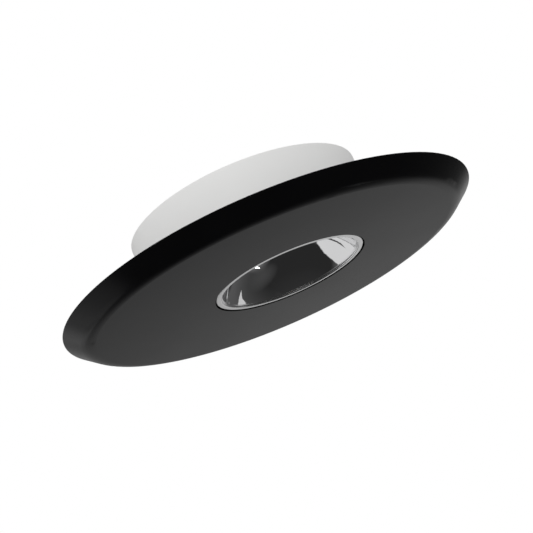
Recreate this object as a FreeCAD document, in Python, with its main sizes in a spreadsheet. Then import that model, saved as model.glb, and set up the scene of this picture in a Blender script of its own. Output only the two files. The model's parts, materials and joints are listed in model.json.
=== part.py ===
"""Surface-mounted soffit downlight as a parametric document.

A round canopy hangs by two keyhole slots on a flat mounting plate under the ceiling. It holds the
driver, the terminal block and, on a steel front plate, the light engine: heat sink, chip, lens and a
mirror bowl in an aperture ring. A shallow spun disc covers it all and is held to the plate by magnets.

Millimetres, +Z up. The origin is on the ceiling plane, on the axis of the canopy, and everything hangs
below it. The aperture sits off the middle of the disc, which leaves room for the driver beside the bowl.
"""
import FreeCAD, Part
import math
import os
import re

import Sketcher
from FreeCAD import Placement, Rotation, Vector

# Driving dimensions, in millimetres and degrees. Angles in plan run anticlockwise from +X, seen from above.
DIMENSIONS = {
    # trim disc
    "disc_radius": 100.0,
    "rim_drop": 32.8,            # ceiling to the rim of the disc
    "dish_depth": 7.5,           # rim to the flat face
    "bevel_angle": 38.0,         # of the disc's slanted edge, from the horizontal
    "bevel_round": 9.5,          # outer radius where the bevel turns into the face
    "disc_sheet": 1.5,
    "rim_land": 0.4,             # upright band that the trimmed rim ends in
    "rim_edge": 0.12,
    "magnet_radius": 4.0,
    "magnet_height": 2.5,
    "magnet_inset": 0.6,         # magnets to the front plate's edge
    "magnet_angle": 17.0,
    "magnet_count": 4,
    "stud_radius": 1.5,
    "stud_angle": 35.0,
    "stud_clearance": 0.25,
    # canopy
    "canopy_radius": 56.5,
    "canopy_wall": 1.9,          # beside the front plate
    "canopy_ledge": 1.5,         # step that the front plate's seal lies on
    "canopy_edge": 0.35,
    "canopy_corner": 1.2,        # cast rounding under the roof
    "disc_gap": 0.4,             # canopy's lower edge to the back of the disc
    "roof_depth": 4.6,           # ceiling to the top of the canopy's roof
    "roof_thickness": 2.0,
    "upper_wall": 2.4,           # beside the mounting plate
    "boss_radius": 3.6,
    "boss_gap": 0.9,             # boss to the canopy's bore
    "boss_angle": 62.0,
    "boss_count": 4,
    # mounting plate and the keyhole hanging
    "plate_gap": 0.4,            # mounting plate to the ceiling gasket
    "plate_thickness": 2.0,
    "collar_radius": 3.6,
    "collar_drop": 0.9,
    "box_slot_radius": 2.4,
    "box_slot_length": 10.0,
    "box_slot_wide": 88.9,
    "box_slot_narrow": 69.9,
    "plate_entry_radius": 12.0,
    "hang_inset": 14.5,          # canopy's outside to the hanging screws' circle
    "hang_angle": 120.0,
    "hang_screw_radius": 2.0,
    "hang_head_radius": 4.0,
    "hang_head_height": 2.4,
    "hang_clearance": 0.25,      # round the shank, and between its head and the roof
    "twist_angle": 15.0,
    # ceiling side seals
    "gasket_width": 1.9,
    "entry_inset": 14.0,         # hanging screws' circle to the cable entry's
    "entry_angle": 150.0,
    "entry_radius": 4.4,         # bore of the grommet
    "grommet_wall": 1.5,
    "grommet_lip": 1.6,
    "grommet_lip_height": 1.1,
    # front plate
    "front_thickness": 1.5,
    "front_clearance": 0.3,
    "front_land": 0.6,           # of the front plate inside the ring's collar
    "front_seal_height": 1.0,
    # light engine, on the optic's own axis
    "optic_angle": -29.578,      # of the way from the canopy's axis to the optic's
    "optic_gap": 0.791,          # outermost post to the canopy's bore
    "ring_inset": 20.0,          # of the ring's outside from the canopy's
    "ring_lip": 2.7,             # width of the ring that shows
    "ring_lip_height": 1.2,
    "ring_wall": 1.4,
    "ring_round": 0.55,
    "ring_gap": 0.5,             # round the ring, in the disc's hole
    "ring_recess": 0.3,          # ring above the disc's face
    "lug_height": 1.2,
    "lug_radius": 3.7,
    "post_gap": 0.5,             # posts to the ring's collar, in plan
    "post_angle": 7.0,
    "post_count": 3,
    "post_radius": 3.4,
    "bowl_wall": 1.0,
    "bowl_rim_width": 0.7,       # of the bowl's rim inside the ring's lip
    "bowl_curve": 32.0,          # radius of the bowl's profile arc
    "bowl_flange": 1.0,
    "neck_radius": 10.5,
    "neck_flange": 4.0,
    "lens_radius": 12.0,
    "lens_thickness": 1.5,
    "lens_seal_height": 0.5,
    "holder_radius": 16.5,
    "holder_height": 3.7,
    "holder_window": 8.5,
    "board_radius": 12.4,
    "board_thickness": 1.6,
    "pad_thickness": 0.4,
    "chip_radius": 7.0,
    "chip_height": 0.5,
    "sink_depth": 15.0,          # ceiling to the underside of the heat sink
    "sink_inset": 10.5,          # of the heat sink's rim from the ring's outside
    "sink_base": 3.0,
    "arm_thickness": 2.0,
    "arm_width": 6.8,
    "fin_height": 5.0,
    "fin_thickness": 1.3,
    "fin_inner": 8.0,
    "fin_count": 18,
    # driver
    "driver_angle": 205.0,
    "driver_inset": 5.6,         # its far side to the canopy's bore
    "driver_width": 22.0,
    "driver_length": 42.0,
    "driver_height": 15.0,
    "driver_wall": 1.2,
    "driver_corner": 2.5,
    "driver_standoff": 2.0,
    "ear_radius": 3.4,
    "ear_inset": 4.5,
    "ear_thickness": 2.0,
    "board_gap": 1.6,            # driver board above its case's floor
    "circuit_thickness": 1.2,
    "core_size": 12.0,
    "core_height": 8.5,
    "capacitor_radius": 4.0,
    "capacitor_height": 9.0,
    # terminal block
    "terminal_x": 1.0,
    "terminal_inset": 16.1,      # middle of the block to the canopy's bore
    "terminal_depth": 18.0,
    "terminal_height": 10.5,
    "terminal_rim": 0.9,         # outer walls of the block
    "pole_pitch": 6.2,
    "pole_count": 3,
    "lever_width": 4.4,
    "lever_clearance": 0.2,
    "lever_thickness": 2.1,
    "lever_reach": 12.2,
    "lever_hub": 2.3,
    "lever_hinge_x": 4.0,
    "lever_hinge_depth": 7.0,
    "lever_back": 1.6,           # room behind the lever's hub
    "lever_pin": 1.0,
    "pin_clearance": 0.05,
    "wire_entry": 1.7,
    "wire_entry_depth": 2.3,
    "lead_entry_depth": 5.6,
    "terminal_lug": 6.4,         # width of the fixing lug at the block's side
    "lug_thickness": 2.0,
    "contact_length": 7.6,
    "contact_width": 2.8,
    "contact_height": 3.0,
    "strap_thickness": 0.8,
    "strap_reach": 3.4,          # block's side to the earth screw
    "strap_eye": 2.9,
    # screws: metric threads as plain shanks
    "screw_radius": 1.45,
    "screw_clearance": 0.05,
    "screw_passage": 1.7,
    "screw_head": 2.8,
    "screw_head_height": 1.0,
    "screw_bite": 8.0,
    "roof_bite": 1.6,            # of the short screws that end inside the roof
    "socket_radius": 1.15,
    "socket_depth": 0.55,        # as a share of the head's height
    "small_screw_radius": 1.0,
    "small_head": 1.8,
    "small_head_height": 0.7,
    "small_socket": 0.8,
    # leads
    "lead_radius": 0.9,
    "lead_bend": 0.45,           # share of a straight run that each bend takes
    "lead_spacing": 2.2,         # of the chip's leads, from the middle line
    "lead_spread": 3.3,          # of the same leads at the driver
    "lead_jog_start": 0.3,       # share of the way where they leave the first line
    "lead_jog_end": 0.7,
    "lead_gap": 0.2,             # their ends to the holder
    "lead_straight": 5.0,        # of the supply leads, out of the block and into the driver
    "lead_reach": 14.0,          # from the block to the supply leads' turn
    "lead_step": 3.2,            # between the supply leads at that turn
    "lead_boss_out": 3.9,        # from the canopy's second boss, where they turn to the driver
    "lead_boss_down": 4.7,
    "lead_fan": 1.1,             # between them at that turn
    "lead_rise": 5.0,            # their ends above the driver's open side
}

# Lengths and levels that follow from the driving ones. Levels are heights in Z, so they are negative.
DERIVED = {
    "rim_z": "-rim_drop",
    "face_z": "rim_z - dish_depth",
    "back_z": "face_z + disc_sheet",
    "canopy_foot_z": "back_z + disc_gap",
    "front_low_z": "back_z + magnet_height",
    "front_top_z": "front_low_z + front_thickness",
    "ledge_z": "front_top_z + front_seal_height",
    "roof_top_z": "-roof_depth",
    "roof_low_z": "roof_top_z - roof_thickness",
    "bevel_run": "(dish_depth - rim_land) / tan(bevel_angle)",
    "sheet_slant": "disc_sheet / sin(bevel_angle)",
    "corner_out": "disc_radius - bevel_run",
    "corner_in": "corner_out + disc_sheet / tan(bevel_angle) - sheet_slant",
    "canopy_low_bore": "canopy_radius - canopy_wall",
    "canopy_bore": "canopy_low_bore - canopy_ledge",
    "canopy_top_bore": "canopy_radius - upper_wall",
    "plate_radius": "canopy_top_bore - gasket_width - plate_gap",
    "boss_circle": "canopy_bore - boss_radius - boss_gap",
    "front_radius": "canopy_low_bore - front_clearance",
    "magnet_circle": "front_radius - magnet_radius - magnet_inset",
    "hang_circle": "canopy_radius - hang_inset",
    "hang_hole": "hang_screw_radius + hang_clearance",
    "hang_opening": "hang_head_radius + 2 * hang_clearance",
    "hang_head_z": "roof_low_z - hang_clearance",
    "entry_circle": "hang_circle - entry_inset",
    "entry_x": "entry_circle * cos(entry_angle)",
    "entry_y": "entry_circle * sin(entry_angle)",
    "ring_radius": "canopy_radius - ring_inset",
    "ring_z": "face_z + ring_recess",
    "lip_z": "ring_z + ring_lip_height",
    "ring_bore": "ring_radius - ring_lip",
    "collar_bore": "ring_radius - ring_wall",
    "front_opening": "collar_bore - front_land",
    "post_circle": "ring_radius + post_radius + post_gap",
    "optic_offset": "canopy_bore - post_circle - post_radius - optic_gap",
    "optic_x": "optic_offset * cos(optic_angle)",
    "optic_y": "optic_offset * sin(optic_angle)",
    "sink_radius": "ring_radius - sink_inset",
    "lug_z": "front_low_z - lug_height",
    "bowl_rim": "ring_bore - bowl_rim_width",
    "flange_radius": "collar_bore - ring_gap / 2",
    "sink_z": "-sink_depth",
    "sink_top_z": "sink_z + sink_base",
    "board_top_z": "sink_z - pad_thickness",
    "board_low_z": "board_top_z - board_thickness",
    "chip_z": "board_low_z - chip_height",
    "holder_z": "sink_z - holder_height",
    "clamp_circle": "(board_radius + holder_radius) / 2",
    "clamp_hole": "small_screw_radius + screw_clearance",
    "lens_z": "holder_z - lens_thickness",
    "neck_z": "lens_z - lens_seal_height",
    "arm_top_z": "sink_z + arm_thickness",
    "screw_hole": "screw_radius + screw_clearance",
    "case_top_z": "roof_low_z - driver_standoff",
    "case_low_z": "case_top_z - driver_height",
    "driver_far": "canopy_bore - driver_inset",
    "driver_near": "driver_far - driver_width",
    "driver_mid": "driver_near + driver_width / 2",
    "circuit_top_z": "case_top_z - driver_wall - board_gap",
    "circuit_low_z": "circuit_top_z - circuit_thickness",
    "terminal_y": "canopy_bore - terminal_inset",
    "terminal_low_z": "roof_low_z - terminal_height",
    "terminal_width": "pole_count * pole_pitch + 2 * terminal_rim",
    "slot_width": "lever_width + 2 * lever_clearance",
    "hinge_z": "roof_low_z - lever_hinge_depth",
    "contact_z": "roof_low_z - strap_thickness - contact_height",
    "lever_top_z": "terminal_low_z + lever_thickness",
    "pin_length": "lever_width + 2 * lever_clearance + (pole_pitch - lever_width) / 2",
}

doc = FreeCAD.newDocument("soffit_downlight")
sheet = doc.addObject("Spreadsheet::Sheet", "dims")
for row, (name, number) in enumerate(DIMENSIONS.items(), start=1):
    sheet.set(f"A{row}", name)
    sheet.set(f"B{row}", str(number))
    sheet.setAlias(f"B{row}", name)
doc.recompute()

UP = Vector(0, 0, 1)
CLOSE = 1e-4          # positions and radii that count as equal
TINY = 1e-6           # the least that a cut must take away, and the slack of a direction
SOCKET_SIDES = 6
pieces = []


def cells(text):
    """Turn a line of plain names into an expression on the spreadsheet's cells."""
    def cell(match):
        word = match.group(0)
        if word in DERIVED:
            return "(" + cells(DERIVED[word]) + ")"
        return "dims." + word if word in DIMENSIONS else word
    return re.sub(r"[a-z][a-z_]*", cell, str(text))


def value(text):
    """The number that a line of names has now."""
    return float(sheet.evalExpression(cells(text)))


def bind(item, prop, text):
    item.setExpression(prop, cells(text))


# ---------------------------------------------------------------- helpers

def new_body(name, x="0", y="0", turn="0"):
    """A body that becomes a piece of its own, at (x, y) in plan and turned about Z."""
    body = doc.addObject("PartDesign::Body", name)
    body.Label = name
    body.Placement = Placement(Vector(0, 0, 0), Rotation(UP, 1))
    bind(body, "Placement.Base.x", x)
    bind(body, "Placement.Base.y", y)
    bind(body, "Placement.Rotation.Angle", turn)
    pieces.append(body)
    return body


def origin_feature(body, role):
    return next(item for item in body.Origin.OriginFeatures if item.Role == role)


def new_sketch(body, plane, offset="0", turn=None):
    """A sketch on an origin plane. Offset is along the plane's normal, turn about the sketch's own Y."""
    sketch = body.newObject("Sketcher::SketchObject", "sketch")
    sketch.AttachmentSupport = (origin_feature(body, plane), [""])
    sketch.MapMode = "FlatFace"
    if turn is not None:
        sketch.AttachmentOffset = Placement(Vector(0, 0, 0), Rotation(Vector(0, 1, 0), 1))
        bind(sketch, "AttachmentOffset.Rotation.Angle", turn)
    bind(sketch, "AttachmentOffset.Base.z", offset)
    return sketch


def fix(sketch, kind, *where):
    """Add a dimension whose last argument is a line of names, and bind it."""
    *targets, text = where
    number = sketch.addConstraint(Sketcher.Constraint(kind, *targets, value(text)))
    bind(sketch, f"Constraints[{number}]", text)


def fix_point(sketch, item, end, x, y):
    fix(sketch, "DistanceX", -1, 1, item, end, x)
    fix(sketch, "DistanceY", -1, 1, item, end, y)


def add_outline(sketch, corners):
    """A closed outline of straight sides through corners given as pairs of names."""
    points = [Vector(value(x), value(y), 0) for x, y in corners]
    first = len(sketch.Geometry)
    count = len(points)
    for side in range(count):
        sketch.addGeometry(Part.LineSegment(points[side], points[(side + 1) % count]), False)
    for side in range(count):
        following = first + (side + 1) % count
        sketch.addConstraint(Sketcher.Constraint("Coincident", first + side, 2, following, 1))
    for side, (x, y) in enumerate(corners):
        fix_point(sketch, first + side, 1, x, y)


def add_circle(sketch, x, y, radius):
    centre = Vector(value(x), value(y), 0)
    item = sketch.addGeometry(Part.Circle(centre, UP, value(radius)), False)
    fix(sketch, "Radius", item, radius)
    fix_point(sketch, item, 3, x, y)


def add_slot(sketch, x, y, radius, length, along_y=False):
    """A round-ended slot centred on (x, y), as long as stated from end to end."""
    reach = f"(({length}) / 2 - ({radius}))"
    turn = math.pi / 2 if along_y else 0
    centres = [(x, f"({y}) - {reach}"), (x, f"({y}) + {reach}")]
    if not along_y:
        centres = [(f"({x}) - {reach}", y), (f"({x}) + {reach}", y)]
    ends = []
    for side, (cx, cy) in enumerate(centres):
        circle = Part.Circle(Vector(value(cx), value(cy), 0), UP, value(radius))
        start = turn + math.pi / 2 + side * math.pi
        ends.append(sketch.addGeometry(Part.ArcOfCircle(circle, start, start + math.pi), False))
    for low, high in ((0, 1), (1, 0)):
        start = sketch.Geometry[ends[low]].EndPoint
        finish = sketch.Geometry[ends[high]].StartPoint
        side = sketch.addGeometry(Part.LineSegment(start, finish), False)
        sketch.addConstraint(Sketcher.Constraint("Tangent", side, 1, ends[low], 2))
        sketch.addConstraint(Sketcher.Constraint("Tangent", side, 2, ends[high], 1))
    sketch.addConstraint(Sketcher.Constraint("Equal", ends[0], ends[1]))
    fix(sketch, "Radius", ends[0], radius)
    for item, (cx, cy) in zip(ends, centres):
        fix_point(sketch, item, 3, cx, cy)


def settle(body, feature):
    """Make the feature the body's tip, and recompute."""
    body.Tip = feature
    doc.recompute()
    return feature


def revolve(body, corners):
    """A full turn of a profile of (radius, height) corners about Z."""
    sketch = new_sketch(body, "XZ_Plane")
    add_outline(sketch, corners)
    feature = body.newObject("PartDesign::Revolution", "turned")
    feature.Profile = sketch
    feature.ReferenceAxis = (sketch, ["V_Axis"])
    feature.Angle = 360
    return settle(body, feature)


def pad(body, sketch, length):
    feature = body.newObject("PartDesign::Pad", "pad")
    feature.Profile = sketch
    bind(feature, "Length", length)
    return settle(body, feature)


def check_cut(body, before):
    """Make sure that the last cut took something from the volume before it."""
    if body.Shape.Volume > before - TINY:
        raise ValueError(f"{body.Label}: a cut takes nothing away")


def pocket(body, sketch, length):
    """Cut upwards from a level sketch's plane."""
    before = body.Shape.Volume
    feature = body.newObject("PartDesign::Pocket", "pocket")
    feature.Profile = sketch
    feature.Reversed = True
    bind(feature, "Length", length)
    settle(body, feature)
    check_cut(body, before)
    return feature


def ring_of(body, features, count):
    """Repeat features evenly round the body's Z axis."""
    feature = body.newObject("PartDesign::PolarPattern", "ring")
    feature.Originals = features
    feature.Axis = (origin_feature(body, "Z_Axis"), [""])
    feature.Angle = 360
    bind(feature, "Occurrences", count)
    return settle(body, feature)


def edges_at(body, z, radius=None):
    """Names of the body's round edges about its Z axis at a height, of a radius where one is given."""
    names = []
    for number, edge in enumerate(body.Shape.Edges, start=1):
        curve = edge.Curve
        if not isinstance(curve, Part.Circle) or abs(abs(curve.Axis.z) - 1) > TINY:
            continue
        centre = body.Placement.inverse().multVec(curve.Center)
        if math.hypot(centre.x, centre.y) > CLOSE or abs(centre.z - z) > CLOSE:
            continue
        if radius is None or abs(curve.Radius - radius) < CLOSE:
            names.append(f"Edge{number}")
    return names


def round_edges(body, names, radius):
    """Fillet the named edges of the body's tip."""
    if not names:
        raise ValueError(f"{body.Label}: no edge to round")
    base = body.Tip
    feature = body.newObject("PartDesign::Fillet", "rounding")
    feature.Base = (base, names)
    bind(feature, "Radius", radius)
    return settle(body, feature)


def at_angle(circle, angle):
    """Plan position on a circle, as a pair of names."""
    return f"{circle} * cos({angle})", f"{circle} * sin({angle})"


def add_screw(body, x, y, head_z, length, shank="screw_radius", head="screw_head",
              head_height="screw_head_height", socket="socket_radius"):
    """A socket screw upwards from a face at head_z, with its head below that face."""
    features = []
    shank_sketch = new_sketch(body, "XY_Plane", head_z)
    add_circle(shank_sketch, x, y, shank)
    features.append(pad(body, shank_sketch, length))
    head_sketch = new_sketch(body, "XY_Plane", f"{head_z} - {head_height}")
    add_circle(head_sketch, x, y, head)
    features.append(pad(body, head_sketch, head_height))
    socket_sketch = new_sketch(body, "XY_Plane", f"{head_z} - {head_height}")
    corners = [at_angle(socket, f"{360 / SOCKET_SIDES * corner}") for corner in range(SOCKET_SIDES)]
    add_outline(socket_sketch, [(f"{x} + {dx}", f"{y} + {dy}") for dx, dy in corners])
    features.append(pocket(body, socket_sketch, f"{head_height} * socket_depth"))
    return features


def ring_of_screws(name, circle, angle, count, head_z, length, home=("0", "0", "0"), shank="screw_radius",
                   head="screw_head", head_height="screw_head_height", socket="socket_radius"):
    """Equal screws on a circle. They share one node, as separate solids."""
    body = new_body(name, *home)
    x, y = at_angle(circle, angle)
    ring_of(body, add_screw(body, x, y, head_z, length, shank, head, head_height, socket), count)


OPTIC = ("optic_x", "optic_y", "0")
DRIVER = ("0", "0", "driver_angle")

# Two screws beside the terminal block, from its middle: its own fixing lug and the earth strap's eye.
TERMINAL_SCREW = ("terminal_depth / 2 + terminal_lug / 2", "-pole_pitch")
EARTH_SCREW = ("terminal_depth / 2 + strap_reach", "pole_pitch")


# ---------------------------------------------------------------- mounting plate, fixed to the ceiling box

def make_mounting_plate():
    body = new_body("mounting_plate")
    blank = new_sketch(body, "XY_Plane", "-plate_thickness")
    add_circle(blank, "0", "0", "plate_radius")
    pad(body, blank, "plate_thickness")

    collar = new_sketch(body, "XY_Plane", "-plate_thickness - collar_drop")
    add_circle(collar, *at_angle("hang_circle", "hang_angle"), "collar_radius")
    collar_pad = pad(body, collar, "collar_drop + plate_thickness / 2")
    ring_of(body, [collar_pad], "2")

    thread = new_sketch(body, "XY_Plane", "-plate_thickness - collar_drop")
    add_circle(thread, *at_angle("hang_circle", "hang_angle"), "hang_screw_radius + screw_clearance")
    thread_cut = pocket(body, thread, "plate_thickness + collar_drop")
    ring_of(body, [thread_cut], "2")

    openings = new_sketch(body, "XY_Plane", "-plate_thickness")
    add_circle(openings, "entry_x", "entry_y", "plate_entry_radius")
    for side in ("", "-"):
        wide, narrow = f"{side}box_slot_wide / 2", f"{side}box_slot_narrow / 2"
        add_slot(openings, wide, "0", "box_slot_radius", "box_slot_length")
        add_slot(openings, "0", narrow, "box_slot_radius", "box_slot_length", along_y=True)
    pocket(body, openings, "plate_thickness")


def make_hanging_screws():
    length = "-hang_head_z - hang_clearance"
    ring_of_screws("hanging_screws", "hang_circle", "hang_angle", "2", "hang_head_z", length,
                   shank="hang_screw_radius", head="hang_head_radius", head_height="hang_head_height")


# ---------------------------------------------------------------- canopy

def make_canopy():
    body = new_body("canopy")
    revolve(body, [
        ("0", "roof_top_z"), ("canopy_top_bore", "roof_top_z"), ("canopy_top_bore", "0"),
        ("canopy_radius", "0"), ("canopy_radius", "canopy_foot_z"), ("canopy_low_bore", "canopy_foot_z"),
        ("canopy_low_bore", "ledge_z"), ("canopy_bore", "ledge_z"), ("canopy_bore", "roof_low_z"),
        ("0", "roof_low_z"),
    ])
    outer = edges_at(body, 0, value("canopy_radius"))
    outer += edges_at(body, value("canopy_foot_z"), value("canopy_radius"))
    round_edges(body, outer, "canopy_edge")
    round_edges(body, edges_at(body, value("roof_low_z"), value("canopy_bore")), "canopy_corner")

    pillar = new_sketch(body, "XY_Plane", "front_top_z")
    add_circle(pillar, *at_angle("boss_circle", "boss_angle"), "boss_radius")
    pillar_pad = pad(body, pillar, "roof_low_z - front_top_z + roof_thickness / 2")
    ring_of(body, [pillar_pad], "boss_count")
    thread = new_sketch(body, "XY_Plane", "front_top_z")
    add_circle(thread, *at_angle("boss_circle", "boss_angle"), "screw_hole")
    thread_cut = pocket(body, thread, "screw_bite + front_thickness")
    ring_of(body, [thread_cut], "boss_count")

    standoffs = new_sketch(body, "XY_Plane", "case_top_z")
    for x, y in driver_ears():
        add_circle(standoffs, *in_plan(x, y), "ear_radius")
    pad(body, standoffs, "driver_standoff + roof_thickness / 2")
    ear_threads = new_sketch(body, "XY_Plane", "case_top_z")
    for x, y in driver_ears():
        add_circle(ear_threads, *in_plan(x, y), "screw_hole")
    pocket(body, ear_threads, "driver_standoff + roof_thickness / 2")

    roof_threads = new_sketch(body, "XY_Plane", "roof_low_z")
    for x, y in (TERMINAL_SCREW, EARTH_SCREW):
        add_circle(roof_threads, f"terminal_x + {x}", f"terminal_y + {y}", "screw_hole")
    pocket(body, roof_threads, "roof_bite + screw_clearance")

    cable_hole = new_sketch(body, "XY_Plane", "roof_low_z")
    add_circle(cable_hole, "entry_x", "entry_y", "entry_radius + grommet_wall")
    pocket(body, cable_hole, "roof_thickness")

    keyhole = new_sketch(body, "XY_Plane", "roof_low_z")
    add_circle(keyhole, *at_angle("hang_circle", "hang_angle"), "hang_hole")
    keyhole_end = pocket(body, keyhole, "roof_thickness")
    opening = new_sketch(body, "XY_Plane", "roof_low_z")
    add_circle(opening, *at_angle("hang_circle", "hang_angle + twist_angle"), "hang_opening")
    keyhole_opening = pocket(body, opening, "roof_thickness")
    track = new_sketch(body, "XZ_Plane", turn="hang_angle + twist_angle / 2")
    add_outline(track, [
        ("hang_circle - hang_hole", "roof_low_z"), ("hang_circle + hang_hole", "roof_low_z"),
        ("hang_circle + hang_hole", "roof_top_z"), ("hang_circle - hang_hole", "roof_top_z"),
    ])
    before = body.Shape.Volume
    groove = body.newObject("PartDesign::Groove", "keyhole_track")
    groove.Profile = track
    groove.ReferenceAxis = (track, ["V_Axis"])
    groove.Midplane = True
    bind(groove, "Angle", "twist_angle")
    settle(body, groove)
    check_cut(body, before)
    ring_of(body, [keyhole_end, keyhole_opening, groove], "2")


def make_ceiling_gasket():
    body = new_body("ceiling_gasket")
    inner = "canopy_top_bore - gasket_width"
    revolve(body, [
        (inner, "roof_top_z"), ("canopy_top_bore", "roof_top_z"),
        ("canopy_top_bore", "0"), (inner, "0"),
    ])


def make_cable_grommet():
    body = new_body("cable_grommet", "entry_x", "entry_y")
    waist = "entry_radius + grommet_wall - screw_clearance"
    lip = "entry_radius + grommet_wall + grommet_lip"
    top = "roof_top_z + grommet_lip_height"
    low = "roof_low_z - grommet_lip_height"
    revolve(body, [
        ("entry_radius", low), (lip, low), (lip, "roof_low_z"), (waist, "roof_low_z"),
        (waist, "roof_top_z"), (lip, "roof_top_z"), (f"{lip} - grommet_lip / 2", top),
        ("entry_radius", top),
    ])


# ---------------------------------------------------------------- front plate

def make_front_plate():
    body = new_body("front_plate")
    blank = new_sketch(body, "XY_Plane", "front_low_z")
    add_circle(blank, "0", "0", "front_radius")
    add_circle(blank, "optic_x", "optic_y", "front_opening")
    pad(body, blank, "front_thickness")

    screw_hole = new_sketch(body, "XY_Plane", "front_low_z")
    add_circle(screw_hole, *at_angle("boss_circle", "boss_angle"), "screw_passage")
    screw_cut = pocket(body, screw_hole, "front_thickness")
    ring_of(body, [screw_cut], "boss_count")

    stud_hole = new_sketch(body, "XY_Plane", "front_low_z")
    add_circle(stud_hole, *at_angle("magnet_circle", "stud_angle"), "stud_radius + stud_clearance")
    stud_cut = pocket(body, stud_hole, "front_thickness")
    ring_of(body, [stud_cut], "2")

    optic_holes = new_sketch(body, "XY_Plane", "front_low_z")
    for number in range(round(value("post_count"))):
        angle = f"(post_angle + {number} * 360 / post_count)"
        x, y = at_angle("post_circle", angle)
        add_circle(optic_holes, f"optic_x + {x}", f"optic_y + {y}", "screw_passage")
    pocket(body, optic_holes, "front_thickness")


def make_front_seal():
    body = new_body("front_plate_seal")
    inner = "canopy_bore + front_clearance / 2"
    revolve(body, [
        (inner, "front_top_z"), ("front_radius", "front_top_z"),
        ("front_radius", "ledge_z"), (inner, "ledge_z"),
    ])


def make_front_screws():
    ring_of_screws("front_plate_screws", "boss_circle", "boss_angle", "boss_count",
                   "front_low_z", "screw_bite")


# ---------------------------------------------------------------- light engine

def make_heat_sink():
    body = new_body("heat_sink", *OPTIC)
    base = new_sketch(body, "XY_Plane", "sink_z")
    add_circle(base, "0", "0", "sink_radius")
    pad(body, base, "sink_base")

    arm = new_sketch(body, "XZ_Plane", turn="post_angle")
    add_outline(arm, [
        ("sink_radius - arm_width / 2", "sink_z"), ("post_circle", "sink_z"),
        ("post_circle", "arm_top_z"), ("sink_radius - arm_width / 2", "arm_top_z"),
    ])
    arm_pad = body.newObject("PartDesign::Pad", "arm")
    arm_pad.Profile = arm
    arm_pad.Midplane = True
    bind(arm_pad, "Length", "arm_width")
    settle(body, arm_pad)
    post = new_sketch(body, "XY_Plane", "front_top_z")
    add_circle(post, *at_angle("post_circle", "post_angle"), "post_radius")
    post_pad = pad(body, post, "arm_top_z - front_top_z")
    ring_of(body, [arm_pad, post_pad], "post_count")

    thread = new_sketch(body, "XY_Plane", "front_top_z")
    add_circle(thread, *at_angle("post_circle", "post_angle"), "screw_hole")
    thread_cut = pocket(body, thread, "screw_bite")
    ring_of(body, [thread_cut], "post_count")

    fin = new_sketch(body, "XZ_Plane")
    add_outline(fin, [
        ("fin_inner", "sink_top_z - sink_base / 2"), ("sink_radius", "sink_top_z - sink_base / 2"),
        ("sink_radius", "sink_top_z + fin_height / 2"),
        ("sink_radius - fin_height / 2", "sink_top_z + fin_height"),
        ("fin_inner", "sink_top_z + fin_height"),
    ])
    fin_pad = body.newObject("PartDesign::Pad", "fin")
    fin_pad.Profile = fin
    fin_pad.Midplane = True
    bind(fin_pad, "Length", "fin_thickness")
    settle(body, fin_pad)
    ring_of(body, [fin_pad], "fin_count")

    clamp = new_sketch(body, "XY_Plane", "sink_z")
    add_circle(clamp, *at_angle("clamp_circle", "driver_angle + 90"), "clamp_hole")
    clamp_cut = pocket(body, clamp, "sink_base")
    ring_of(body, [clamp_cut], "2")


def make_led():
    """Pad, board and chip: three discs stacked under the heat sink."""
    for name, top, radius, height in (
        ("thermal_pad", "sink_z", "board_radius - pad_thickness", "pad_thickness"),
        ("led_board", "board_top_z", "board_radius", "board_thickness"),
    ):
        body = new_body(name, *OPTIC)
        disc = new_sketch(body, "XY_Plane", f"{top} - {height}")
        add_circle(disc, "0", "0", radius)
        pad(body, disc, height)
    chip = new_body("led_chip", *OPTIC)
    revolve(chip, [
        ("0", "board_low_z"), ("chip_radius", "board_low_z"),
        ("chip_radius - chip_height / 2", "chip_z"), ("0", "chip_z"),
    ])


def make_led_holder():
    body = new_body("led_holder", *OPTIC)
    seat = "board_radius + 2 * screw_clearance"
    revolve(body, [
        (seat, "sink_z"), ("holder_radius", "sink_z"), ("holder_radius", "holder_z"),
        ("lens_radius", "holder_z"), ("holder_window", "chip_z"), ("holder_window", "board_low_z"),
        (seat, "board_low_z"),
    ])
    clamp = new_sketch(body, "XY_Plane", "holder_z")
    add_circle(clamp, *at_angle("clamp_circle", "driver_angle + 90"), "clamp_hole")
    clamp_cut = pocket(body, clamp, "holder_height")
    ring_of(body, [clamp_cut], "2")


def make_holder_screws():
    length = "holder_height + sink_base - screw_clearance"
    ring_of_screws("holder_screws", "clamp_circle", "driver_angle + 90", "2", "holder_z", length, home=OPTIC,
                   shank="small_screw_radius", head="small_head", head_height="small_head_height",
                   socket="small_socket")


def make_lens():
    lens = new_body("lens", *OPTIC)
    revolve(lens, [
        ("0", "lens_z"), ("lens_radius", "lens_z"), ("lens_radius", "holder_z"), ("0", "holder_z"),
    ])
    seal = new_body("lens_seal", *OPTIC)
    revolve(seal, [
        ("neck_radius", "neck_z"), ("lens_radius + lens_thickness", "neck_z"),
        ("lens_radius + lens_thickness", "lens_z"), ("neck_radius", "lens_z"),
    ])


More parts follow.
